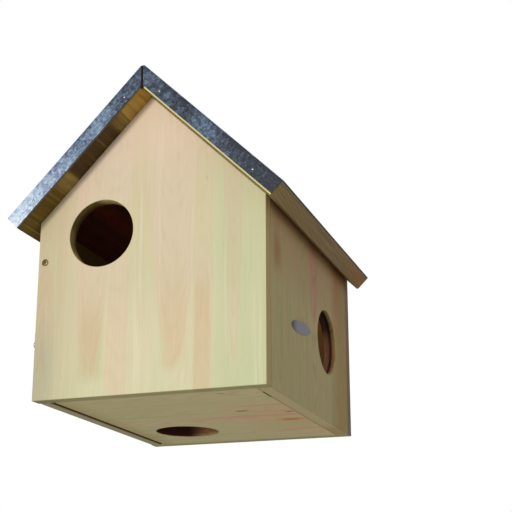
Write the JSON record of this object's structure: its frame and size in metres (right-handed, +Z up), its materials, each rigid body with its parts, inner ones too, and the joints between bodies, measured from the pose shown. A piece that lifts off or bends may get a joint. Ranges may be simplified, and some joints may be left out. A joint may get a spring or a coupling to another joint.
{
  "type": "nest box",
  "caption": "Wooden nest box with a gable roof under a folded zinc sheet, round entrances in front, side and floor, and a swing-out cleaning door.",
  "frame": {"origin": "centre of the bounding box's footprint, on the surface that the box stands on", "axes": "+X to the right seen from the front, +Y towards the back, +Z up"},
  "size_m": [0.3016, 0.3308, 0.3396],
  "materials": {
    "pine_panel": "planed pine with a pale green tint, unpainted",
    "pine_roof": "planed pine, unpainted",
    "zinc_sheet": "weathered galvanised zinc sheet",
    "oval_plate": "satin, bare",
    "plated_steel": "zinc plated",
    "dark_screw": "black phosphated",
    "nail_steel": "plain steel"
  },
  "bodies": {
    "root": {"front_panel": "pine_panel", "back_panel": "pine_panel", "right_wall": "pine_panel", "floor_board": "pine_panel", "left_roof_board": "pine_roof", "right_roof_board": "pine_roof", "roof_sheet": "zinc_sheet", "oval_plate": "oval_plate", "turn_button_screw": "plated_steel", "front_panel_nails": "nail_steel", "back_panel_nails": "nail_steel", "left_roof_nails": "nail_steel", "right_roof_nails": "nail_steel", "front_sheet_nails": "plated_steel", "back_sheet_nails": "plated_steel", "hanger_plate": "plated_steel", "hanger_screws": "plated_steel"},
    "door": {"cleaning_door": "pine_panel", "front_pivot_screw": "dark_screw", "back_pivot_screw": "dark_screw"},
    "button": {"turn_button": "plated_steel"}
  },
  "joints": [
    {"name": "door_swing", "type": "hinge", "parent": "root", "child": "door", "pos_m": [-0.1174, 0, 0.146], "axis": [0, 1, 0], "range_deg": [0, 130]},
    {"name": "button_turn", "type": "hinge", "parent": "root", "child": "button", "pos_m": [-0.126, -0.13265, 0.06], "axis": [-1, 0, 0], "continuous": true}
  ]
}
